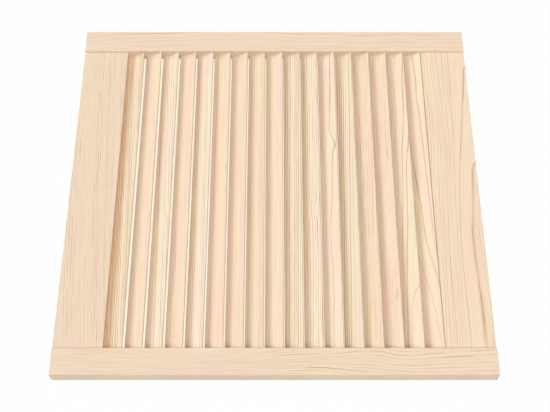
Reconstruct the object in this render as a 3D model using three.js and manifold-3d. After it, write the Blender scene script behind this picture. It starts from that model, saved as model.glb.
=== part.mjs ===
// A louvred cabinet door of unfinished pine, lying on its back.
// X runs along the two stiles, Y across them, and Z up out of the front face; all lengths are millimetres.
// Hung on a cabinet, -X is up, so each slat slopes down towards the front and sheds dust and water outwards.
import * as THREE from "three";
import { mergeVertices } from "three/addons/utils/BufferGeometryUtils.js";
import Module from "manifold-3d";

// Door
const doorHeight = 615;
const doorWidth = 594;

// Stiles, the two boards that run the whole height of the door
const stileWidth = 40;
const stileThickness = 21;
const stileArris = 1.5;
const stileEndArris = 0.8;

// Rails, the two boards that fit between the stiles, set back from their faces
const railWidth = 70;
const railThickness = 14;
const railArris = 1;

// Slats: thin laths with softened edges, let into slanted housings in both stiles
const slatWidth = 29;
const slatThickness = 3;
const slatArris = 0.5;
const slatTiltDegrees = 28;

// The least gap between two neighbouring slats seen from the front, and the gap that each end slat keeps to its rail
const slatGap = 0.9;
const slatEndGap = 0.25;

// Housings, the slots in the stiles' inner edges that the ends of the slats sit in
const housingDepth = 9;
const housingFit = 0.3;

// Fluted dowels that hold each rail to each stile
const dowelDiameter = 6;
const dowelLength = 30;
const dowelChamfer = 0.8;
const dowelFluteDepth = 0.3;
const dowelFluteCount = 12;
const dowelFit = 0.3;
const dowelEndRoom = 1;
const dowelEdgeDistance = 19;
const dowelsPerJoint = 2;

// How far a cutting solid runs past the face that it opens
const overrun = 5;

// Steps in a quarter turn of a rounded arris
const arrisSteps = 4;

// Sizes that follow
const openingWidth = doorWidth - stileWidth - stileWidth;
const openingHeight = doorHeight - railWidth - railWidth;
const slatTilt = THREE.MathUtils.degToRad(slatTiltDegrees);
const slatRun =
  (slatWidth - 2 * slatArris) * Math.cos(slatTilt) +
  (slatThickness - 2 * slatArris) * Math.sin(slatTilt) +
  2 * slatArris;
const slatSpan = openingHeight - 2 * slatEndGap - slatRun;
const slatCount = Math.floor(slatSpan / (slatRun + slatGap)) + 1;
const slatPitch = slatSpan / (slatCount - 1);
const slatLength = openingWidth + 2 * (housingDepth - housingFit);
const midHeight = stileThickness / 2;
const stileInnerEdge = openingWidth / 2;
const railInnerEdge = openingHeight / 2;

const wasm = await Module();
wasm.setup();

// A closed three.js geometry as a solid for joining and cutting.
function toSolid(geometry) {
  const bare = geometry.clone();
  bare.deleteAttribute("normal");
  bare.deleteAttribute("uv");
  const merged = mergeVertices(bare);
  return new wasm.Manifold(
    new wasm.Mesh({
      numProp: 3,
      vertProperties: merged.attributes.position.array,
      triVerts: new Uint32Array(merged.index.array),
    }),
  );
}

// The solid back as a three.js geometry with flat-shaded faces.
function toGeometry(solid) {
  const mesh = solid.getMesh();
  const geometry = new THREE.BufferGeometry();
  geometry.setAttribute("position", new THREE.BufferAttribute(mesh.vertProperties, 3));
  geometry.setIndex(new THREE.BufferAttribute(mesh.triVerts, 1));
  const flat = geometry.toNonIndexed();
  flat.computeVertexNormals();
  return flat;
}

// Everything in tools is taken out of the blank.
function cut(blank, tools) {
  return tools.reduce((left, tool) => left.subtract(tool), blank);
}

// A rectangle about the origin whose corners are arcs.
function roundedSection(width, height, radius) {
  const right = width / 2;
  const top = height / 2;
  const corners = [
    [right - radius, radius - top, -Math.PI / 2],
    [right - radius, top - radius, 0],
    [radius - right, top - radius, Math.PI / 2],
    [radius - right, radius - top, Math.PI],
  ];
  const shape = new THREE.Shape();
  for (const [x, y, start] of corners) {
    shape.absarc(x, y, radius, start, start + Math.PI / 2);
  }
  return shape;
}

// The section run along Z, centred there.
function bar(section, length) {
  const geometry = new THREE.ExtrudeGeometry(section, {
    depth: length,
    bevelEnabled: false,
    curveSegments: arrisSteps,
  });
  return geometry.translate(0, 0, -length / 2);
}

// As bar, with the arrises of both ends softened too.
function softEndedBar(section, length, endArris) {
  const geometry = new THREE.ExtrudeGeometry(section, {
    depth: length - 2 * endArris,
    bevelEnabled: true,
    bevelThickness: endArris,
    bevelSize: endArris,
    bevelOffset: -endArris,
    bevelSegments: 2,
    curveSegments: arrisSteps,
  });
  return geometry.translate(0, 0, endArris - length / 2);
}

// Turns that lay a bar made along Z down along X or along Y, its section's second axis staying upright.
function alongX(geometry) {
  return geometry.rotateX(Math.PI / 2).rotateZ(Math.PI / 2);
}

function alongY(geometry) {
  return geometry.rotateX(Math.PI / 2);
}

// The middle of each slat, counted from the top rail.
function slatPlace(index) {
  return slatPitch * index - slatSpan / 2;
}

// The lath's section leans back so that its +X edge is the high one.
function slatBar(grow, length) {
  const section = roundedSection(
    slatWidth + 2 * grow,
    slatThickness + 2 * grow,
    slatArris + grow,
  );
  return alongY(bar(section, length)).rotateY(-slatTilt);
}

// Where the dowels of one rail sit along X, measured from the middle of the rail's width.
function dowelPlaces() {
  const span = railWidth - 2 * dowelEdgeDistance;
  return Array.from(
    { length: dowelsPerJoint },
    (_, index) => (span * index) / (dowelsPerJoint - 1) - span / 2,
  );
}

// A bore for half a dowel on each side of the joint between stile and rail.
function dowelBore() {
  const radius = dowelDiameter / 2 + dowelFit;
  const length = dowelLength + 2 * dowelEndRoom;
  return new THREE.CylinderGeometry(radius, radius, length, 2 * dowelFluteCount);
}

// Stile: a board with eased arrises, the slats' housings and the dowels' bores, its inner edge towards side * -Y.
function stile(side) {
  const blank = toSolid(
    alongX(
      softEndedBar(roundedSection(stileWidth, stileThickness, stileArris), doorHeight, stileEndArris),
    ).translate(0, side * (stileInnerEdge + stileWidth / 2), midHeight),
  );
  const housingMiddle = side * (stileInnerEdge + (housingDepth - overrun) / 2);
  const housing = slatBar(housingFit, housingDepth + overrun);
  const tools = [];
  for (let index = 0; index < slatCount; index += 1) {
    tools.push(toSolid(housing.clone().translate(slatPlace(index), housingMiddle, midHeight)));
  }
  for (const end of [-1, 1]) {
    for (const place of dowelPlaces()) {
      const along = end * (railInnerEdge + railWidth / 2) + place;
      tools.push(toSolid(dowelBore().translate(along, side * stileInnerEdge, midHeight)));
    }
  }
  return toGeometry(cut(blank, tools));
}

// Rail: a board between the stiles, with bores in both ends. Its ends are square, so they butt tight.
function rail(end) {
  const middle = end * (railInnerEdge + railWidth / 2);
  const blank = toSolid(
    alongY(bar(roundedSection(railWidth, railThickness, railArris), openingWidth)).translate(
      middle,
      0,
      midHeight,
    ),
  );
  const tools = [];
  for (const side of [-1, 1]) {
    for (const place of dowelPlaces()) {
      tools.push(toSolid(dowelBore().translate(middle + place, side * stileInnerEdge, midHeight)));
    }
  }
  return toGeometry(cut(blank, tools));
}

// Slat: the lath between the two housings' floors.
function slat(index) {
  return slatBar(0, slatLength).translate(slatPlace(index), 0, midHeight);
}

// Dowel: a beech pin with flutes that let the glue spread, and chamfered ends.
function dowel() {
  const crest = dowelDiameter / 2;
  const valley = crest - dowelFluteDepth;
  const outline = [];
  for (let step = 0; step < 2 * dowelFluteCount; step += 1) {
    const angle = (Math.PI * step) / dowelFluteCount;
    const radius = step % 2 ? valley : crest;
    outline.push(new THREE.Vector2(radius * Math.cos(angle), radius * Math.sin(angle)));
  }
  const fluted = alongY(bar(new THREE.Shape(outline), dowelLength));
  const half = dowelLength / 2;
  const chamfered = new THREE.LatheGeometry(
    [
      new THREE.Vector2(0, -half),
      new THREE.Vector2(crest - dowelChamfer, -half),
      new THREE.Vector2(crest, dowelChamfer - half),
      new THREE.Vector2(crest, half - dowelChamfer),
      new THREE.Vector2(crest - dowelChamfer, half),
      new THREE.Vector2(0, half),
    ],
    2 * dowelFluteCount,
  );
  return toGeometry(toSolid(fluted).intersect(toSolid(chamfered)));
}

const pine = { roughness: 0.62, metalness: 0 };
const stilePine = new THREE.MeshStandardMaterial({ color: 0xf0d9c1, ...pine });
const railPine = new THREE.MeshStandardMaterial({ color: 0xefd6ba, ...pine });
const slatPine = new THREE.MeshStandardMaterial({ color: 0xf7dcc0, ...pine });
const beech = new THREE.MeshStandardMaterial({ color: 0xd9b48c, roughness: 0.7, metalness: 0 });

const door = new THREE.Group();
door.name = "louvred_door";

function add(name, geometry, material) {
  const mesh = new THREE.Mesh(geometry, material);
  mesh.name = name;
  door.add(mesh);
  return mesh;
}

// Left and right, top and bottom as seen from the front of the hung door.
add("left_stile", stile(-1), stilePine);
add("right_stile", stile(1), stilePine);
add("top_rail", rail(-1), railPine);
add("bottom_rail", rail(1), railPine);

for (let index = 0; index < slatCount; index += 1) {
  add(`slat_${String(index + 1).padStart(2, "0")}`, slat(index), slatPine);
}

for (const [railName, end] of [["top", -1], ["bottom", 1]]) {
  for (const [stileName, side] of [["left", -1], ["right", 1]]) {
    dowelPlaces().forEach((place, index) => {
      const pin = add(`dowel_${railName}_${stileName}_${index + 1}`, dowel(), beech);
      const along = end * (railInnerEdge + railWidth / 2) + place;
      pin.position.set(along, side * stileInnerEdge, midHeight);
    });
  }
}

export default door;
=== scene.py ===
import math
import random
from dataclasses import dataclass

import bpy
from mathutils import Matrix, Vector


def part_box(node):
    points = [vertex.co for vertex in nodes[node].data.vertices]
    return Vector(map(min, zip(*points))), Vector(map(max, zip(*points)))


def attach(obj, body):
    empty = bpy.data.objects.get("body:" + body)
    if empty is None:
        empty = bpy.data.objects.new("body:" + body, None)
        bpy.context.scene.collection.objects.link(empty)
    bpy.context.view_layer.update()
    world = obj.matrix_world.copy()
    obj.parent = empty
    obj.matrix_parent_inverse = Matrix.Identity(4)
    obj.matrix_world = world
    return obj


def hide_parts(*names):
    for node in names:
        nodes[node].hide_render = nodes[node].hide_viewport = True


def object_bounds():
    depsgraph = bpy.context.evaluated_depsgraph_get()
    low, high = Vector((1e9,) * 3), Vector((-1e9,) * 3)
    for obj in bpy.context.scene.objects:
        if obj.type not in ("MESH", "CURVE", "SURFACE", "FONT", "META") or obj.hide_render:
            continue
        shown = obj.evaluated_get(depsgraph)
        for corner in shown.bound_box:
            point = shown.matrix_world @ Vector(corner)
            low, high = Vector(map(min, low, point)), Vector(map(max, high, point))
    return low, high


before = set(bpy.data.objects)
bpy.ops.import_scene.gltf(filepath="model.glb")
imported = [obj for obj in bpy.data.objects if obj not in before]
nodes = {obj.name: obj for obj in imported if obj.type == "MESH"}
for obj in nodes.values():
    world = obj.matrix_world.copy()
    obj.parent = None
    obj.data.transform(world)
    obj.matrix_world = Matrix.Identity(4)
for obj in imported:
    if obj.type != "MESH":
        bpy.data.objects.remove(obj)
cad_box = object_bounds()

MM = 0.001
WHITE = (1, 1, 1, 1)

# Camera: the lens that gives the photograph's perspective, in front of the left stile and well above it
PHOTO_WIDTH = 550
FOCAL_PIXELS = 1042.2
SENSOR_WIDTH = 36.0
CAMERA_PLACE = (0.00097, -0.79852, 1.36799)
CAMERA_DOWN = math.radians(60.37)

# Soft lamps, all far off: the way to each, the width of its disc in degrees, and its strength
LAMPS = {
    "key": ((-1.33, 0.60, 1.0), 16, 0.100),
    "key_spread": ((-1.33, 0.60, 1.0), 42, 0.238),
    "back_left": ((-1.2, 1.0, 1.0), 30, 0.111),
    "front": ((0.0, -0.7, 1.0), 40, 0.519),
    "right": ((0.7, 0.0, 1.0), 40, 0.204),
}
LAMP_COLOUR = (0.928, 0.997, 1.012)
SKY_STRENGTH = 0.205
SKY_COLOUR = (1.0, 0.60, 0.49, 1)

# The floor: how wide it is, how far below the door it lies, and how much of it shows as plain white
FLOOR_SIZE = 30.0
FLOOR_DROP = 0.0002
FLOOR_GREY = 0.9
FLOOR_WHITENESS = 0.94

# Painted bounce light: the floor under the door shows warm, as light from the pale wood above would
# tint it, and the tint fades out over this many metres inside the door's outline
FLOOR_PAINTED_BOUNCE = (1.05, 0.955, 0.815, 1)
PAINTED_BOUNCE_FADE = 0.03

# Where the Mix node keeps its two colours among its inputs, and the mixed one among its outputs
MIX_FIRST = 6
MIX_SECOND = 7
MIX_RESULT = 2


def socket(tree, target, value):
    """Sets an input to a plain value, or links it to another node's output."""
    if isinstance(value, bpy.types.NodeSocket):
        tree.links.new(value, target)
    else:
        target.default_value = value


def node(tree, kind, inputs=None, **settings):
    """A new node with its settings, and with its inputs given by name or by place."""
    made = tree.nodes.new(kind)
    for name, value in settings.items():
        setattr(made, name, value)
    for key, value in (inputs or {}).items():
        socket(tree, made.inputs[key], value)
    return made


def maths(tree, operation, *values):
    """The result of a Math node."""
    return node(tree, "ShaderNodeMath", dict(enumerate(values)), operation=operation).outputs[0]


def vector_maths(tree, operation, *values):
    """The result of a Vector Math node."""
    return node(tree, "ShaderNodeVectorMath", dict(enumerate(values)), operation=operation).outputs[0]


def square(tree, value):
    """A value times itself."""
    return maths(tree, "MULTIPLY", value, value)


def between(tree, share, start, end):
    """A value that runs from start to end while the share runs from 0 to 1."""
    return maths(tree, "MULTIPLY_ADD", share, end - start, start)


def smooth_step(tree, value, low, high):
    """0 below low, 1 above high and a smooth rise between them; high below low gives the fall."""
    inputs = {"Value": value, "From Min": low, "From Max": high}
    return node(tree, "ShaderNodeMapRange", inputs, interpolation_type="SMOOTHSTEP").outputs[0]


def blend(tree, factor, first, second):
    """Two colours mixed by a factor."""
    inputs = {"Factor": factor, MIX_FIRST: first, MIX_SECOND: second}
    return node(tree, "ShaderNodeMix", inputs, data_type="RGBA").outputs[MIX_RESULT]


def noise(tree, place, kind, seed):
    """A noise of one of the kinds below, from 0 to 1."""
    scales, detail, roughness = kind
    stretched = vector_maths(tree, "MULTIPLY", place, scales)
    inputs = {"Vector": stretched, "W": seed, "Scale": 1.0, "Detail": detail, "Roughness": roughness}
    return node(tree, "ShaderNodeTexNoise", inputs, noise_dimensions="4D").outputs[0]


def group_tree(kind, name, inputs, outputs):
    """An empty node group, the sockets that it is given and those of its result."""
    tree = bpy.data.node_groups.new(name, kind)
    for title, what in inputs.items():
        tree.interface.new_socket(title, in_out="INPUT", socket_type="NodeSocket" + what)
    for title, what in outputs.items():
        tree.interface.new_socket(title, in_out="OUTPUT", socket_type="NodeSocket" + what)
    return tree, tree.nodes.new("NodeGroupInput").outputs, tree.nodes.new("NodeGroupOutput").inputs


# What each board's material tells the group of nodes that all boards share
SAWN_PINE = "Sawn pine"
PINE_INPUTS = {
    "Grain": "Vector",
    "Facing": "Vector",
    "Rings": "Float",
    "Darkness": "Float",
    "Broken": "Float",
    "Blush": "Float",
    "Tinge": "Float",
    "Pale": "Float",
    "Shade": "Float",
    "Low edge": "Vector",
    "High edge": "Vector",
    "Spots": "Float",
    "Seed": "Float",
}
SPRING_YELLOW = (0.925, 0.79, 0.545, 1)
SPRING_PINK = (0.947, 0.71, 0.572, 1)
PALEST = (1, 1, 0.9, 1)
PALEST_SHARE = 0.27
SUMMER_BROWN = (0.62, 0.41, 0.21, 1)
KNOT_BROWN = (0.42, 0.22, 0.10, 1)

# Noises in the wood: how fast each changes along the grain and the two ways across it, for every
# millimetre, then its detail and how strong that is
FIBRE = ((0.014, 1.1, 1.1), 3.0, 0.6)
STREAK = ((0.007, 0.36, 0.36), 3.0, 0.6)
FADE = ((0.022, 0.45, 0.45), 1.0, 0.5)
TINT = ((0.007, 0.07, 0.07), 2.0, 0.5)
DRIFT = ((0.009, 0.03, 0.03), 2.0, 0.5)

# In a year that runs from 0 to 1: where its dark line starts, where it darkens, and where it ends
LINE_START = 0.5
LINE_RISE = (0.45, 0.8)
LINE_FALL = (1.0, 0.92)

# A line fades out where the fade noise falls from the first of these to the second
LINE_GAP = (0.56, 0.4)

# How much of the lines the boards' edges keep, and how much smoother and higher the lines are
LINE_ON_EDGES = 0.1
LINE_POLISH = -0.08
LINE_RELIEF = 0.35

# What the noises do to lines, tint, shade and roughness, from their lowest to their highest
LINE_STREAKS = (0.4, 1.6)
TINT_CHANGE = (-1.6, 1.6)
FIBRE_SHADE = (0.92, 1.08)
STREAK_SHADE = (0.9, 1.1)
FIBRE_ROUGHNESS = (0.5, 0.68)

# How far pale wood turns towards yellow, where on the slats' lit side the paleness is partly a painted
# highlight, and how dark end grain is
PALE_BLUSH = -0.35
END_SHADE = 0.86

# A face becomes an end or an edge as its normal along or across the board passes these, and a low
# edge gives way to a high one as it turns from the one side to the other
SQUARELY = (0.6, 1.0)
SIDEWAYS = (-0.5, 0.5)

# How strongly the grain stands out and how far, in metres, and how little bare wood shines
PINE_BUMP = {"Strength": 0.25, "Distance": 0.0002}
PINE_SPECULAR = 0.3


def pine_group():
    """Sawn pine: growth rings, fibres and slow changes of tint.

    Grain is the place in the log in millimetres: along it, out through its rings, and below the face.
    Rings counts the years, and the second half of each is its dark summer growth.
    """
    outputs = {"Color": "Color", "Roughness": "Float", "Relief": "Float"}
    tree, given, result = group_tree("ShaderNodeTree", SAWN_PINE, PINE_INPUTS, outputs)
    kinds = (FIBRE, STREAK, FADE, TINT)
    fibre, streak, fade, tint = (noise(tree, given["Grain"], kind, given["Seed"]) for kind in kinds)

    # The summer growth darkens to a sharp edge, and breaks into longer and shorter stretches.
    phase = maths(tree, "FRACT", given["Rings"])
    rise = smooth_step(tree, phase, *LINE_RISE)
    fall = smooth_step(tree, phase, *LINE_FALL)
    line = maths(tree, "MULTIPLY", rise, fall)
    gone = maths(tree, "MULTIPLY", smooth_step(tree, fade, *LINE_GAP), given["Broken"])
    line = maths(tree, "MULTIPLY", line, maths(tree, "SUBTRACT", 1.0, gone))
    line = maths(tree, "MULTIPLY", line, between(tree, streak, *LINE_STREAKS))
    late = maths(tree, "MULTIPLY", line, given["Darkness"])
    facing = node(tree, "ShaderNodeSeparateXYZ", {0: given["Facing"]}).outputs
    end, edge = (smooth_step(tree, maths(tree, "ABSOLUTE", way), *SQUARELY) for way in facing[:2])
    late = maths(tree, "MULTIPLY", late, between(tree, edge, 1.0, LINE_ON_EDGES))

    # Between its lines the wood lies somewhere between yellow and pink, and pale wood is yellower. On
    # the slats the paleness is partly their own tone and partly a painted highlight on the high, lit
    # side, which leaves the shaded low side pinker.
    tint = maths(tree, "MULTIPLY", between(tree, tint, *TINT_CHANGE), given["Tinge"])
    blush = maths(tree, "ADD", given["Blush"], tint)
    blush = maths(tree, "MULTIPLY_ADD", given["Pale"], PALE_BLUSH, blush)
    warm = node(tree, "ShaderNodeClamp", {0: blush}).outputs[0]
    early = blend(tree, warm, SPRING_YELLOW, SPRING_PINK)
    early = blend(tree, maths(tree, "MULTIPLY", given["Pale"], PALEST_SHARE), early, PALEST)
    colour = blend(tree, late, early, SUMMER_BROWN)
    colour = blend(tree, given["Spots"], colour, KNOT_BROWN)

    # End grain soaks up light. Each long edge gets a colour of its own: partly the darker sawn edge
    # grain, partly painted shade and bounce light.
    shade = between(tree, fibre, *FIBRE_SHADE)
    shade = maths(tree, "MULTIPLY", shade, between(tree, streak, *STREAK_SHADE))
    shade = maths(tree, "MULTIPLY", shade, given["Shade"])
    shade = maths(tree, "MULTIPLY", shade, between(tree, end, 1.0, END_SHADE))
    shades = node(tree, "ShaderNodeCombineXYZ", {0: shade, 1: shade, 2: shade}).outputs[0]
    side = smooth_step(tree, facing[1], *SIDEWAYS)
    edge_tone_and_shade = blend(tree, edge, WHITE, blend(tree, side, given["Low edge"], given["High edge"]))
    colour = vector_maths(tree, "MULTIPLY", vector_maths(tree, "MULTIPLY", colour, shades), edge_tone_and_shade)
    socket(tree, result["Color"], colour)

    roughness = between(tree, fibre, *FIBRE_ROUGHNESS)
    socket(tree, result["Roughness"], maths(tree, "MULTIPLY_ADD", late, LINE_POLISH, roughness))
    socket(tree, result["Relief"], maths(tree, "MULTIPLY_ADD", late, LINE_RELIEF, fibre))


@dataclass
class Figure:
    """How the grain of one board runs, and what colours it.

    Lengths are millimetres, along and across the board from the middle of its face.
    guides are growth lines followed along the board: a ring's place, then points along and across.
    rings are the dark lines read off the face: a place, how dark, from 0 to 1, and, where it isn't
    line, how thick. Others lie beyond them, about spacing apart, uneven by the share spread, and
    about as dark as dark says. All of them stray to either side as wander says, and broken, from 0
    to 1, says how much of them fades out.
    heart is the middle of the log, across the board and below its face; each dark line is sharp on
    the side away from it.
    blush takes the wood between the lines from yellow, 0, to pink, 1, and tinge says how much that
    changes over the board. The wood turns paler, as pale says, from the first to the second place of
    its span across the board: on the frame the span takes in the whole board, as its own tone, and on
    the slats it rises from the shaded low edge to the lit high edge, partly as their own tone and partly
    as a painted highlight. shade darkens the whole board, and low_edge and high_edge its two long edges,
    partly as sawn edge grain and partly as painted shade and bounce light.
    marks and spots are patches along, across, half as long, half as wide and how strong: marks
    darken the rings that cross them, or weaken them if below 0, and spots are knots.
    """

    seed: int
    guides: tuple
    spacing: float
    dark: float
    line: float
    broken: float
    blush: float
    rings: tuple = ((0, 0.3),)
    spread: float = 0.4
    wander: float = 0.8
    heart: tuple = (-70, 25)
    tinge: float = 0.85
    pale: float = 0.0
    # On a slat the paleness rises from its shaded low edge to its lit high edge: partly its own tone,
    # partly a painted highlight
    pale_and_highlight_span: tuple = (-14, 5)
    shade: float = 1.0
    # The long edges are darkened, partly as sawn edge grain and partly as painted shade
    low_edge: tuple = (0.9, 0.9, 0.88)
    high_edge: tuple = (0.9, 0.9, 0.88)
    marks: tuple = ()
    spots: tuple = ()


# How far the rings reach to either side of a board's middle, in half widths of the board
RING_REACH = 2

# How dark the rings beyond those read off the face are, at least and at most, where dark is 1
DARK_SHARES = (0.3, 1.7)

# The most of a year's growth that its dark line takes
WIDEST_SHARE = 0.75

# How far a line strays in millimetres where wander is 1
WANDER_REACH = 2

# A patch begins at the first of these squared distances from its middle, and is full at the second
PATCH_RIM = (1.0, 0.1)

# A Vector Curves node holds this many curves, whose values here reach this many millimetres
CURVES_IN_NODE = 3
CURVE_REACH = 100.0


def all_rings(figure, half_width):
    """The rings read off the board, and others beyond them at both sides, no two of them alike."""
    chance = random.Random(figure.seed)
    rings = list(figure.rings)
    reach = RING_REACH * half_width

    def step():
        return figure.spacing * chance.uniform(1 - figure.spread, 1 + figure.spread)

    def darkness():
        return figure.dark * chance.uniform(*DARK_SHARES)

    while rings[0][0] > -reach:
        rings.insert(0, (rings[0][0] - step(), darkness()))
    while rings[-1][0] < reach:
        rings.append((rings[-1][0] + step(), darkness()))
    return rings


def curves(tree, value, tables, handle):
    """Up to three curves of one value between -1 and 1, each through its own points."""
    same = node(tree, "ShaderNodeCombineXYZ", {0: value, 1: value, 2: value}).outputs[0]
    made = node(tree, "ShaderNodeVectorCurve", {"Vector": same})
    for curve, table in zip(made.mapping.curves, tables):
        for x, y in table[1:-1]:
            curve.points.new(x, y)
        ends = sorted(curve.points, key=lambda point: point.location.x)
        ends[0].location = table[0]
        ends[-1].location = table[-1]
        for point in curve.points:
            point.handle_type = handle
    made.mapping.update()
    return node(tree, "ShaderNodeSeparateXYZ", {0: made.outputs[0]}).outputs


def straight_out(tree, across, depth, heart):
    """Where the ring that passes through a place comes up at the board's face."""
    side, below = heart
    out = maths(tree, "SUBTRACT", across, side)
    up = maths(tree, "SUBTRACT", below, depth)
    squares = maths(tree, "ADD", square(tree, out), square(tree, up))
    left = maths(tree, "MAXIMUM", maths(tree, "SUBTRACT", squares, below**2), 0.0)
    return maths(tree, "MULTIPLY_ADD", maths(tree, "SQRT", left), math.copysign(1.0, -side), side)


def along_the_guides(tree, across, along, guides, reach):
    """A place in the ring pattern: the guides' own places where they run, and evenly between them."""
    share = maths(tree, "DIVIDE", along, reach)
    lines = []
    for start in range(0, len(guides), CURVES_IN_NODE):
        few = guides[start : start + CURVES_IN_NODE]
        tables = [[(u / reach, v / CURVE_REACH) for u, v in points] for place, points in few]
        found = curves(tree, share, tables, "AUTO_CLAMPED")
        lines += [maths(tree, "MULTIPLY", found[way], CURVE_REACH) for way in range(len(few))]
    places = [place for place, points in guides]
    if len(lines) == 1:
        return maths(tree, "ADD", maths(tree, "SUBTRACT", across, lines[0]), places[0])

    # Past the outer guides the pattern goes on as it runs between the nearest two.
    total = places[0]
    gaps = len(lines) - 1
    for index in range(gaps):
        gap = maths(tree, "SUBTRACT", lines[index + 1], lines[index])
        part = maths(tree, "DIVIDE", maths(tree, "SUBTRACT", across, lines[index]), gap)
        if index > 0:
            part = maths(tree, "MAXIMUM", part, 0.0)
        if index < gaps - 1:
            part = maths(tree, "MINIMUM", part, 1.0)
        total = maths(tree, "MULTIPLY_ADD", part, places[index + 1] - places[index], total)
    return total


def ring_count(tree, place, rings, line):
    """The years up to a place in the pattern, and how dark the line there is."""
    low = rings[0][0]
    high = rings[-1][0]
    spread = {"Value": place, "From Min": low, "From Max": high, "To Min": -1.0, "To Max": 1.0}
    share = node(tree, "ShaderNodeMapRange", spread).outputs[0]
    count = len(rings) - 1
    years = [(-1.0, 0.0)]
    darks = [(-1.0, 0.0)]
    for year in range(1, count + 1):
        end, dark, thick = (*rings[year], line)[:3]
        width = min(thick, WIDEST_SHARE * (end - rings[year - 1][0]))
        start = 2 * (end - width - low) / (high - low) - 1
        end = 2 * (end - low) / (high - low) - 1
        years += [(start, (year - 1 + LINE_START) / count), (end, year / count)]
        darks += [(start, dark), (end, dark)]
    found = curves(tree, share, (years, darks), "VECTOR")
    return maths(tree, "MULTIPLY", found[0], count), found[1]


def patches(tree, along, across, places):
    """How strongly the patches cover a place."""
    total = 0.0
    for u, v, length, width, strength in places:
        out = maths(tree, "DIVIDE", maths(tree, "SUBTRACT", along, u), length)
        aside = maths(tree, "DIVIDE", maths(tree, "SUBTRACT", across, v), width)
        far = maths(tree, "ADD", square(tree, out), square(tree, aside))
        total = maths(tree, "MULTIPLY_ADD", smooth_step(tree, far, *PATCH_RIM), strength, total)
    return total


def growth(tree, laid, size, figure):
    """The inputs that change over a board: grain, rings, knots, and paleness, partly a painted
    highlight.
    """
    half_length, half_width, half_depth = size
    along, across, height = node(tree, "ShaderNodeSeparateXYZ", {0: laid}).outputs
    depth = maths(tree, "SUBTRACT", half_depth, height)

    # The lines wander a little to either side of where the guides lead them.
    stray = WANDER_REACH * figure.wander
    wander = between(tree, noise(tree, laid, DRIFT, figure.seed), -stray, stray)
    reached = maths(tree, "ADD", straight_out(tree, across, depth, figure.heart), wander)
    out = along_the_guides(tree, reached, along, figure.guides, half_length)
    grain = node(tree, "ShaderNodeCombineXYZ", {0: along, 1: out, 2: depth}).outputs[0]

    # The years are counted away from the heart, on whichever side it lies.
    rings = all_rings(figure, half_width)
    if figure.heart[0] > 0:
        rings = [(-ring[0], *ring[1:]) for ring in reversed(rings)]
        out = maths(tree, "MULTIPLY", out, -1.0)
    years, darkness = ring_count(tree, out, rings, figure.line)
    if figure.marks:
        more = maths(tree, "ADD", patches(tree, along, across, figure.marks), 1.0)
        darkness = maths(tree, "MULTIPLY", darkness, more)
    # On the slats the paleness rises towards the lit high edge: partly their own tone, partly a painted
    # highlight.
    pale = maths(tree, "MULTIPLY", smooth_step(tree, across, *figure.pale_and_highlight_span), figure.pale)
    spots = patches(tree, along, across, figure.spots)
    return {"Grain": grain, "Rings": years, "Darkness": darkness, "Pale": pale, "Spots": spots}


def board_frame(along, up, middle):
    """The turn and the place of a board: its grain runs along one way and its face looks up."""
    along = Vector(along).normalized()
    up = Vector(up).normalized()
    across = up.cross(along)
    turn = Matrix((along, across, up)).transposed().to_euler()
    return turn, Vector(middle)


def pine(name, place, size, figure):
    """The board's own material: the pine group laid along the board, with this board's figure.

    size gives half the board's length, half its width and half its thickness, in millimetres.
    """
    turn, middle = place
    material = bpy.data.materials.new(name)
    material.use_nodes = True
    tree = material.node_tree
    shader = tree.nodes["Principled BSDF"]
    coordinates = node(tree, "ShaderNodeTexCoord").outputs
    lay = {0: coordinates["Object"], "Location": middle, "Rotation": turn, "Scale": (MM, MM, MM)}
    laid = node(tree, "ShaderNodeMapping", lay, vector_type="TEXTURE").outputs[0]
    look = {0: coordinates["Normal"], "Rotation": turn}
    facing = node(tree, "ShaderNodeMapping", look, vector_type="TEXTURE").outputs[0]
    group = node(tree, "ShaderNodeGroup", node_tree=bpy.data.node_groups[SAWN_PINE])
    inputs = {
        "Facing": facing,
        "Broken": figure.broken,
        "Blush": figure.blush,
        "Tinge": figure.tinge,
        "Shade": figure.shade,
        "Low edge": figure.low_edge,
        "High edge": figure.high_edge,
        "Seed": figure.seed,
        **growth(tree, laid, size, figure),
    }
    for title, value in inputs.items():
        socket(tree, group.inputs[title], value)
    bump = node(tree, "ShaderNodeBump", {"Height": group.outputs["Relief"], **PINE_BUMP})
    socket(tree, shader.inputs["Base Color"], group.outputs["Color"])
    socket(tree, shader.inputs["Roughness"], group.outputs["Roughness"])
    socket(tree, shader.inputs["Normal"], bump.outputs[0])
    shader.inputs["Specular IOR Level"].default_value = PINE_SPECULAR
    return material


def paint(name, material):
    """Gives a CAD piece its finish."""
    mesh = nodes[name].data
    mesh.materials.clear()
    mesh.materials.append(material)


def pieces(kind):
    """The names of the CAD's pieces of a kind, in order."""
    return sorted(name for name in nodes if name.startswith(kind))


def middle_of(name):
    """The centre of a piece's box."""
    low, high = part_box(name)
    return (low + high) / 2


# A straight guide is drawn this far to either end of a board's middle, in millimetres
GUIDE_REACH = 250


def leaning(slope):
    """The one guide of a board whose straight grain leans to one side."""
    rise = GUIDE_REACH * slope
    return ((0, ((-GUIDE_REACH, -rise), (GUIDE_REACH, rise))),)


# Both places lie past the board's low edge, so that the whole board is evenly pale, as its own tone
WHOLE_BOARD_PALE = (-90, -80)
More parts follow.
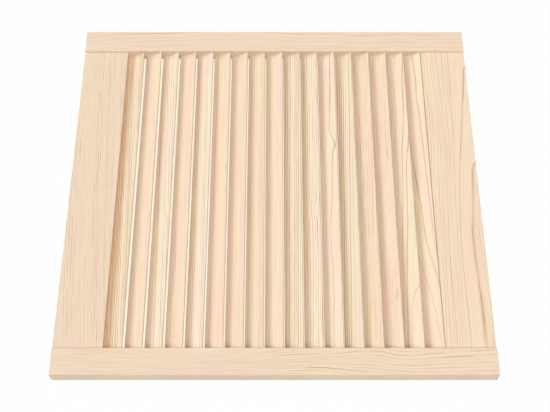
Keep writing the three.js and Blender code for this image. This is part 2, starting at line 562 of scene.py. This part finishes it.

# The frame's boards; along runs down the stiles, and from the right to the left end of the rails
# The boards' edge colours below are partly their edge grain's and partly painted shade and bounce light:
# warm and dark on the rails' inner edges, cooler on the left stile's front edge
FRAME_FIGURES = {
    "left_stile": Figure(
        seed=3, spacing=3.2, dark=0.35, line=1.3, heart=(70, 20), wander=1.0, broken=0.8, tinge=0.6,
        low_edge=(0.9, 0.938, 0.945), shade=0.953, blush=0.6, pale=0.21, pale_and_highlight_span=WHOLE_BOARD_PALE,
        guides=(
            (-10.4, ((-307, -9), (-200, -10), (-150, -12), (-110, -14), (-80, -13.5), (-30, -12),
                     (0, -12), (30, -11.5), (60, -10.3), (80, -11.5), (100, -14), (130, -17),
                     (150, -19), (200, -21), (307, -21))),
            (0, ((-307, 0.3), (-250, -0.3), (-200, -2.8), (-150, -6.8), (-110, -9.8), (-80, -9),
                 (-50, -7), (-30, -5), (0, -2.5), (30, -1.3), (60, -0.2), (100, -1), (130, -1.5),
                 (150, -3.2), (172, -6.2), (190, -6.5), (220, -5.5), (260, -4.4), (307, -3))),
        ),
        rings=((-18, 0.35), (-14.2, 0.35), (-10.4, 0.45, 2.0), (-6.6, 0.45), (-3.4, 0.45), (0, 0.45),
               (3.2, 0.4), (6.3, 0.45), (10.3, 0.55, 1.6), (14.5, 0.4)),
        marks=((42, -10.5, 70, 5, 1.2), (-235, 10, 50, 3, 0.8), (250, 6.5, 50, 3, 0.8),
               (60, 10, 90, 3, 0.6)),
    ),
    "right_stile": Figure(
        seed=4, spacing=5.0, dark=0.3, line=1.3, heart=(70, 20), wander=0.5, broken=0.8, tinge=0.55,
        shade=0.94, blush=0.6, low_edge=(0.96, 0.96, 0.96), pale=0.19, pale_and_highlight_span=WHOLE_BOARD_PALE,
        guides=((0, ((-307, 7), (-290, 7.5), (-283, 10), (-270, 11.5), (-245, 14), (-200, 15.2),
                     (-140, 17.5), (-110, 19.5), (-20, 19), (20, 16.5), (45, 14.5), (75, 15),
                     (100, 14), (120, 12), (150, 10.5), (170, 11), (195, 12.5), (240, 12),
                     (307, 12))),),
        rings=((-30, 0.3), (-25, 0.5), (-15, 0.5), (-8.5, 0.35), (0, 0.7, 1.8), (8, 0.3)),
        marks=((-200, 15.5, 60, 4, 0.4), (55, 14, 20, 4, 0.5), (-65, 5, 25, 4, 0.8)),
    ),
    "top_rail": Figure(
        seed=5, spacing=2.6, spread=0.5, dark=0.48, line=1.1, heart=(-110, 30), wander=0.7, broken=0.8,
        guides=((0, ((-256, -13), (-100, -5), (0, 0), (120, 7), (256, 17))),), tinge=0.6, shade=0.944,
        blush=0.58, high_edge=(0.93, 0.8, 0.735), pale=0.27, pale_and_highlight_span=WHOLE_BOARD_PALE,
        rings=((-22.5, 0.6), (-20, 0.25), (-17.5, 0.2), (-15.5, 0.35), (-12.5, 0.3), (-10.3, 0.2),
               (-7.7, 0.45), (-5.5, 0.15), (-3.5, 0.4), (-0.7, 0.2), (2.3, 0.65), (4.6, 0.4)),
        marks=((50, 4, 120, 5, 0.6), (-80, -26, 120, 4, 0.5)),
    ),
    "bottom_rail": Figure(
        seed=6, spacing=3.5, dark=0.5, line=1.3, heart=(110, 25), wander=0.35, broken=0.5, tinge=0.6,
        low_edge=(0.885, 0.76, 0.7), shade=0.982, blush=0.56, pale=0.14, pale_and_highlight_span=WHOLE_BOARD_PALE,
        guides=(
            (-27, ((-256, -17.7), (-200, -16.8), (-150, -15.8), (-100, -16.5), (-50, -18), (0, -20.7),
                   (50, -22.8), (100, -24.7), (150, -25.2), (256, -28.5))),
            (-20, ((-256, -10.7), (-200, -9.7), (-150, -8.9), (-100, -9.6), (-50, -10.7), (0, -12.8),
                   (50, -15.5), (100, -17.5), (150, -18.5), (256, -18.7))),
            (-12, ((-256, -2.7), (-100, -2.7), (-50, -4.6), (0, -6.7), (50, -8.9), (100, -10.5),
                   (200, -10.8), (256, -11.6))),
            (-5, ((-256, 7.8), (-200, 7), (-150, 5.5), (-100, 4.4), (-50, 2.4), (0, -0.8), (50, -3.4),
                  (100, -4.8), (150, -5.5), (256, -5.4))),
            (-3.5, ((-256, 9.3), (-200, 8.5), (-150, 7), (-100, 5.9), (-50, 3.9), (0, 0.7), (50, -1.9),
                    (100, -3.3), (150, -4), (256, -3.9))),
            (1, ((-256, 46), (-238, 41), (-232, 36), (-225, 31.5), (-200, 28.8), (-150, 22.8),
                 (-100, 16.8), (-80, 14.3), (-50, 10.4), (-30, 8.2), (0, 5.4), (30, 3.9), (50, 2.6),
                 (80, 0.9), (150, -0.4), (200, 0.1), (256, 0.4))),
            (20, ((-256, 80), (-100, 50), (-60, 40), (-48, 33), (-42, 29), (-30, 26.5), (0, 24),
                  (30, 21.5), (60, 18.7), (80, 17.5), (110, 17.5), (150, 18.3), (200, 20), (256, 19))),
        ),
        rings=((-37, 0.45), (-31, 0.45), (-27, 0.55), (-23.5, 0.25), (-20, 0.7), (-16, 0.3), (-12, 0.5),
               (-8.5, 0.2), (-5, 0.5), (1, 0.85, 1.4), (20, 0.65, 6.5), (28, 0.2)),
        marks=((-160, 6, 120, 5, 0.8), (150, -18, 50, 3, 0.7), (-205, 29, 40, 4, 0.4),
               (-25, 27, 30, 4, 0.4), (215, 21, 50, 4, 0.5), (90, 18.5, 40, 3, 0.3)),
        spots=((85, 17.5, 60, 2.4, 0.13), (195, 19.5, 70, 2.4, 0.13)),
    ),
}

# The slats, counted from the top rail; along runs from the right stile to the left
SLAT_FIGURES = (
    Figure(20, leaning(0.045), spacing=2.4, dark=0.95, line=1.6, broken=0.4, blush=0.4, pale=0.65,
           shade=0.99),
    Figure(21, leaning(0.02), spacing=6.0, dark=0.3, line=1.0, broken=0.9, blush=0.6),
    Figure(22, leaning(0.03), spacing=3.2, dark=0.7, line=1.4, broken=0.45, blush=0.65, pale=0.8),
    Figure(23, leaning(0.03), spacing=5.0, dark=0.4, line=1.0, broken=0.9, blush=0.55),
    Figure(24, leaning(0.015), spacing=3.8, dark=0.45, line=1.4, broken=0.4, blush=0.65, pale=0.85),
    Figure(25, leaning(0.0), spacing=8.0, dark=0.45, line=1.2, broken=0.9, blush=0.6,
           spots=((-37, 12, 8, 1.6, 0.3), (2, 12.5, 10, 1.4, 0.22))),
    Figure(26, leaning(0.01), spacing=5.0, dark=0.25, line=1.0, broken=0.9, blush=0.6, shade=0.985),
    Figure(27, leaning(0.0), spacing=3.0, dark=0.55, line=1.2, broken=0.45, blush=0.5, shade=0.99,
           spots=((112, 6, 6, 1.2, 0.12), (128, 10, 7, 1.2, 0.15), (146, 11, 9, 1.5, 0.15))),
    Figure(28, leaning(-0.005), spacing=4.0, dark=0.4, line=1.0, broken=0.9, blush=0.5, pale=0.25),
    Figure(29, leaning(-0.012), spacing=3.6, dark=1.05, line=1.6, broken=0.35, blush=0.6, pale=0.75,
           shade=0.99),
    Figure(
        30, ((-6, ((-256, -3), (-150, -3), (-50, -5), (0, -6.5), (60, -7), (150, -7.5), (256, -9))),
             (10, ((-256, 13), (-150, 13), (-50, 11), (0, 9.5), (40, 8), (60, 10.5), (150, 9),
                   (256, 7)))),
        spacing=3.8, dark=0.9, line=1.5, broken=0.6, blush=0.7, pale=0.8,
        rings=((-6, 0.8), (-2, 0.7), (3, 0.8), (7, 0.6), (10.5, 1.0)),
    ),
    Figure(
        31, ((-14, ((-256, -6), (-170, -8), (-90, -9), (-40, -6), (256, -7))),
             (0, ((-256, 8), (-180, 7), (-112, 4), (-105, 5), (-88, 11), (-78, 13), (-72, 11),
                  (-66, 8.5), (-50, 7), (0, 5.5), (30, 4), (45, 2.5), (80, 1), (105, 1.5), (125, 3),
                  (170, 3), (200, 2), (256, 1)))),
        rings=((-14, 0.5), (0, 0.85, 2.4), (18, 0.5)), spacing=9.0, dark=0.4, line=1.6, wander=0.3,
        broken=0.3, blush=0.65, pale=0.5, marks=((-80, 12.5, 12, 3, 0.5), (-180, 7, 70, 4, 0.4)),
    ),
    Figure(32, leaning(-0.028), spacing=3.6, spread=0.25, dark=1.0, line=1.4, broken=0.25, blush=0.5,
           pale=0.6, shade=0.98),
    Figure(33, leaning(-0.026), spacing=2.5, dark=0.5, line=1.2, broken=0.85, blush=0.45, shade=0.995),
    Figure(34, leaning(-0.03), spacing=3.0, dark=0.45, line=1.0, broken=0.9, blush=0.6,
           spots=((-65, 7.3, 22, 1.3, 0.3), (-122, 7, 6, 3, 0.15), (172, 9.5, 11, 1.8, 0.3),
                  (178, 7.2, 8, 1.2, 0.25), (145, 9, 8, 1.5, 0.2))),
    Figure(
        35, ((0, ((-256, 16), (-205, 12), (-150, 10), (-100, 6.5), (-85, 4.5), (-50, 2), (-30, 1),
                  (10, -1), (50, -4), (100, -7.5), (150, -9), (190, -11.5), (256, -15))),
             (6, ((-256, 27), (-120, 17), (-75, 13), (-65, 11), (-50, 9), (-25, 7), (20, 5.5), (60, 3.5),
                  (100, 0), (130, -2), (150, -4), (200, -6), (256, -9))),
             (14, ((-256, 44), (50, 30), (150, 19), (163, 14), (168, 9), (180, 5), (190, 1.5), (200, -1),
                   (220, -2), (256, -4)))),
        rings=((-14, 0.4), (-8, 0.45), (0, 0.8, 1.6), (6, 0.9, 1.6), (14, 0.6), (40, 0.2)), spacing=7.0,
        dark=0.4, line=1.2, wander=0.3, broken=0.3, blush=0.5, pale=0.4,
        marks=((-150, 10, 60, 3, 0.4), (-70, 12, 10, 3, 0.5), (168, 10, 10, 5, 0.5)),
    ),
    Figure(
        36, ((-10, ((-256, -34), (100, -14), (145, -5), (160, -1), (175, 2), (200, 6), (240, 10),
                    (256, 12))),
             (0, ((-256, -22), (-75, -12), (-50, -10), (-20, -7), (0, -5), (20, -3), (60, -1), (90, 2),
                  (110, 6), (130, 10), (145, 13), (256, 24))),
             (12, ((-256, 2), (-200, 5), (-165, 4), (-150, 6), (-100, 7.5), (-50, 9), (0, 10.5),
                   (50, 12), (100, 14), (256, 30)))),
        rings=((-36, 0.2), (-10, 0.45), (0, 0.7, 1.4), (12, 0.75, 1.5), (24, 0.3)),
        spacing=7.0, dark=0.3, line=1.2, wander=0.3, broken=0.3, blush=0.58, pale=0.25,
        marks=((-35, -8, 45, 5, 0.9), (125, -9, 35, 6, -0.6)),
    ),
)


def half_sizes(name, ways):
    """Half of a piece's length along each of these axes, in millimetres."""
    low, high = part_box(name)
    return tuple((high - low)[way] / 2 / MM for way in ways)


def finish_frame():
    """Every board of the frame gets its own figure."""
    for name, figure in FRAME_FIGURES.items():
        stile = name.endswith("stile")
        along = (1, 0, 0) if stile else (0, -1, 0)
        size = half_sizes(name, (0, 1, 2) if stile else (1, 0, 2))
        paint(name, pine(name, board_frame(along, (0, 0, 1), middle_of(name)), size, figure))


# Corners this close to a slat's highest are on its flat face
FLAT_WITHIN = 0.001 * MM

# Steps of each rounded edge, and the least that a flat face's normal measures along its own way
EDGE_STEPS = 6
FLAT_NORMAL = 0.999


@dataclass
class Lath:
    """One of the CAD's slats as measured: its own three ways, its sizes, and its soft edges' width."""

    along: Vector
    across: Vector
    up: Vector
    length: float
    width: float
    thickness: float
    edge: float


def measured_lath(name):
    """A slat's ways along its grain, across its face and out of its face, and its sizes along them."""
    mesh = nodes[name].data
    widest = max(mesh.polygons, key=lambda face: face.area)
    up = widest.normal if widest.normal.z > 0 else -widest.normal
    along = Vector((0, -1, 0))
    ways = (along, up.cross(along), up)
    places = [[corner.co.dot(way) for corner in mesh.vertices] for way in ways]
    length, width, thickness = (max(row) - min(row) for row in places)
    top = max(places[2])
    flat = [aside for aside, height in zip(places[1], places[2]) if top - height < FLAT_WITHIN]
    edge = (width - (max(flat) - min(flat))) / 2
    return Lath(*ways, length, width, thickness, edge)


def lath_tree():
    """A lath with rounded edges: its outline run along the grain, then leant back and put in place."""
    inputs = {"Length": "Float", "Width": "Float", "Thickness": "Float", "Edge radius": "Float",
              "Turn": "Rotation", "Place": "Vector", "Finish": "Material"}
    kind = "GeometryNodeTree"
    tree, given, result = group_tree(kind, "Louvre slat", inputs, {"Geometry": "Geometry"})
    size = {"Width": given["Width"], "Height": given["Thickness"]}
    outline = node(tree, "GeometryNodeCurvePrimitiveQuadrilateral", size, mode="RECTANGLE")
    rounding = {"Curve": outline.outputs[0], "Count": EDGE_STEPS, "Radius": given["Edge radius"]}
    rounded = node(tree, "GeometryNodeFilletCurve", rounding, mode="POLY")
    half = maths(tree, "DIVIDE", given["Length"], 2.0)
    near = node(tree, "ShaderNodeCombineXYZ", {2: maths(tree, "MULTIPLY", half, -1.0)}).outputs[0]
    far = node(tree, "ShaderNodeCombineXYZ", {2: half}).outputs[0]
    path = node(tree, "GeometryNodeCurvePrimitiveLine", {"Start": near, "End": far})
    run = {"Curve": path.outputs[0], "Profile Curve": rounded.outputs[0], "Fill Caps": True}
    lath = node(tree, "GeometryNodeCurveToMesh", run)

    # Only the rounded edges are shaded smooth: faces and ends look along one of the lath's own ways.
    looks = vector_maths(tree, "ABSOLUTE", node(tree, "GeometryNodeInputNormal").outputs[0])
    looks = node(tree, "ShaderNodeSeparateXYZ", {0: looks}).outputs
    most = maths(tree, "MAXIMUM", maths(tree, "MAXIMUM", looks[0], looks[1]), looks[2])
    curved = maths(tree, "LESS_THAN", most, FLAT_NORMAL)
    shaded = node(tree, "GeometryNodeSetShadeSmooth", {0: lath.outputs[0], "Shade Smooth": curved})
    laid = {"Geometry": shaded.outputs[0], "Translation": given["Place"], "Rotation": given["Turn"]}
    placed = node(tree, "GeometryNodeTransform", laid)
    realized = node(tree, "GeometryNodeRealizeInstances", {0: placed.outputs[0]})
    finish = {"Geometry": realized.outputs[0], "Material": given["Finish"]}
    finished = node(tree, "GeometryNodeSetMaterial", finish)
    socket(tree, result[0], finished.outputs[0])
    return tree


def make_slat(tree, name, lath, material):
    """The lath that stands for one of the CAD's slats, of its size and in its place."""
    values = {
        "Length": lath.length,
        "Width": lath.width,
        "Thickness": lath.thickness,
        "Edge radius": lath.edge,
        "Turn": Matrix((lath.across, lath.up, lath.along)).transposed().to_euler(),
        "Place": middle_of(name),
        "Finish": material,
    }
    slat = bpy.data.objects.new("louvre_" + name, bpy.data.meshes.new(name))
    bpy.context.scene.collection.objects.link(slat)
    modifier = slat.modifiers.new("Louvre slat", "NODES")
    modifier.node_group = tree
    for item in tree.interface.items_tree:
        if item.in_out == "INPUT":
            modifier[item.identifier] = values[item.name]
    shown = slat.evaluated_get(bpy.context.evaluated_depsgraph_get())
    mesh = bpy.data.meshes.new_from_object(shown)
    slat.modifiers.clear()
    slat.data = mesh
    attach(slat, "root")
    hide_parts(name)


def make_slats():
    """Every slat is a lath of its own, with a figure of its own."""
    tree = lath_tree()
    for name, figure in zip(pieces("slat_"), SLAT_FIGURES, strict=True):
        lath = measured_lath(name)
        size = (lath.length / 2 / MM, lath.width / 2 / MM, lath.thickness / 2 / MM)
        place = board_frame(lath.along, lath.up, middle_of(name))
        make_slat(tree, name, lath, pine("pine_" + name, place, size, figure))


# The dowels' beech: two noises, as the wood's above but for every metre, and its colours
BEECH_FIBRE = ((900.0, 40.0, 900.0), 3.0, 0.6)
BEECH_FLECK = ((700.0, 220.0, 700.0), 1.0, 0.5)
BEECH_SEEDS = (1.0, 5.0)
BEECH_DARK = (0.52, 0.33, 0.19, 1)
BEECH_PALE = (0.68, 0.47, 0.30, 1)
FLECK_BROWN = (0.36, 0.20, 0.11, 1)
FLECK_RISE = (0.6, 0.68)
FLECK_SHARE = 0.5
BEECH_ROUGHNESS = (0.5, 0.7)
BEECH_BUMP = {"Strength": 0.3, "Distance": 0.0002}


def beech():
    """The dowels' pale, even hardwood with its short dark flecks."""
    material = bpy.data.materials.new("beech_dowel")
    material.use_nodes = True
    tree = material.node_tree
    shader = tree.nodes["Principled BSDF"]
    place = node(tree, "ShaderNodeTexCoord").outputs["Object"]
    fibre = noise(tree, place, BEECH_FIBRE, BEECH_SEEDS[0])
    fleck = noise(tree, place, BEECH_FLECK, BEECH_SEEDS[1])
    fleck = maths(tree, "MULTIPLY", smooth_step(tree, fleck, *FLECK_RISE), FLECK_SHARE)
    colour = blend(tree, fibre, BEECH_DARK, BEECH_PALE)
    socket(tree, shader.inputs["Base Color"], blend(tree, fleck, colour, FLECK_BROWN))
    socket(tree, shader.inputs["Roughness"], between(tree, fibre, *BEECH_ROUGHNESS))
    bump = node(tree, "ShaderNodeBump", {"Height": fibre, **BEECH_BUMP})
    socket(tree, shader.inputs["Normal"], bump.outputs[0])
    return material


def finish_dowels():
    """All the dowels are of one beech."""
    finish = beech()
    for name in pieces("dowel_"):
        paint(name, finish)


def seen_directly(tree):
    """1 for rays that show the set, straight or in gloss or glass, and 0 for those that only light."""
    path = node(tree, "ShaderNodeLightPath").outputs
    shown = maths(tree, "MAXIMUM", path["Is Camera Ray"], path["Is Glossy Ray"])
    return maths(tree, "MAXIMUM", shown, path["Is Transmission Ray"])


def make_floor():
    """A pale floor, nearly white, with a faint shadow of the door and painted warm bounce light under
    it.
    """
    corner = FLOOR_SIZE / 2
    mesh = bpy.data.meshes.new("floor")
    corners = [(-corner, -corner), (corner, -corner), (corner, corner), (-corner, corner)]
    mesh.from_pydata([(x, y, -FLOOR_DROP) for x, y in corners], [], [(0, 1, 2, 3)])
    floor = bpy.data.objects.new("floor", mesh)
    bpy.context.scene.collection.objects.link(floor)
    material = bpy.data.materials.new("white_floor")
    material.use_nodes = True
    tree = material.node_tree
    tree.nodes.remove(tree.nodes["Principled BSDF"])
    matt = node(tree, "ShaderNodeBsdfDiffuse", {"Color": (FLOOR_GREY, FLOOR_GREY, FLOOR_GREY, 1)})

    # The door lies about the floor's middle, so its box reaches as far to one side as to the other.
    place = node(tree, "ShaderNodeTexCoord").outputs["Object"]
    ways = node(tree, "ShaderNodeSeparateXYZ", {0: vector_maths(tree, "ABSOLUTE", place)}).outputs
    below = 1.0
    for way, reach in zip(ways[:2], cad_box[1][:2]):
        below = maths(tree, "MULTIPLY", smooth_step(tree, way, reach, reach - PAINTED_BOUNCE_FADE), below)
    # Painted bounce light: inside the door's outline the floor's white turns warm, fading out at the
    # outline.
    white = node(tree, "ShaderNodeEmission", {"Color": blend(tree, below, WHITE, FLOOR_PAINTED_BOUNCE)})
    share = maths(tree, "MULTIPLY", seen_directly(tree), FLOOR_WHITENESS)
    both = node(tree, "ShaderNodeMixShader", {0: share, 1: matt.outputs[0], 2: white.outputs[0]})
    socket(tree, tree.nodes["Material Output"].inputs["Surface"], both.outputs[0])
    mesh.materials.append(material)


def make_light():
    """The lamps and a dim sky, which shows white where the camera sees it."""
    for name, (way, spread, strength) in LAMPS.items():
        lamp = bpy.data.lights.new(name, "SUN")
        lamp.energy = math.pi * strength
        lamp.color = LAMP_COLOUR
        lamp.angle = math.radians(spread)
        holder = bpy.data.objects.new(name, lamp)
        holder.rotation_euler = Vector(way).to_track_quat("Z", "Y").to_euler()
        bpy.context.scene.collection.objects.link(holder)
    world = bpy.data.worlds.new("studio")
    bpy.context.scene.world = world
    world.use_nodes = True
    tree = world.node_tree
    shown = seen_directly(tree)
    background = tree.nodes["Background"]
    socket(tree, background.inputs["Color"], blend(tree, shown, SKY_COLOUR, WHITE))
    socket(tree, background.inputs["Strength"], between(tree, shown, SKY_STRENGTH, 1.0))


def make_camera():
    """The photograph's view, from above the left stile's side."""
    lens = bpy.data.cameras.new("camera")
    lens.sensor_width = SENSOR_WIDTH
    lens.lens = SENSOR_WIDTH * FOCAL_PIXELS / PHOTO_WIDTH
    camera = bpy.data.objects.new("camera", lens)
    camera.location = CAMERA_PLACE
    camera.rotation_euler = (math.pi / 2 - CAMERA_DOWN, 0, 0)
    bpy.context.scene.collection.objects.link(camera)
    bpy.context.scene.camera = camera


make_camera()
make_light()
make_floor()
pine_group()
finish_frame()
make_slats()
finish_dowels()
bpy.context.scene.view_settings.view_transform = "Standard"
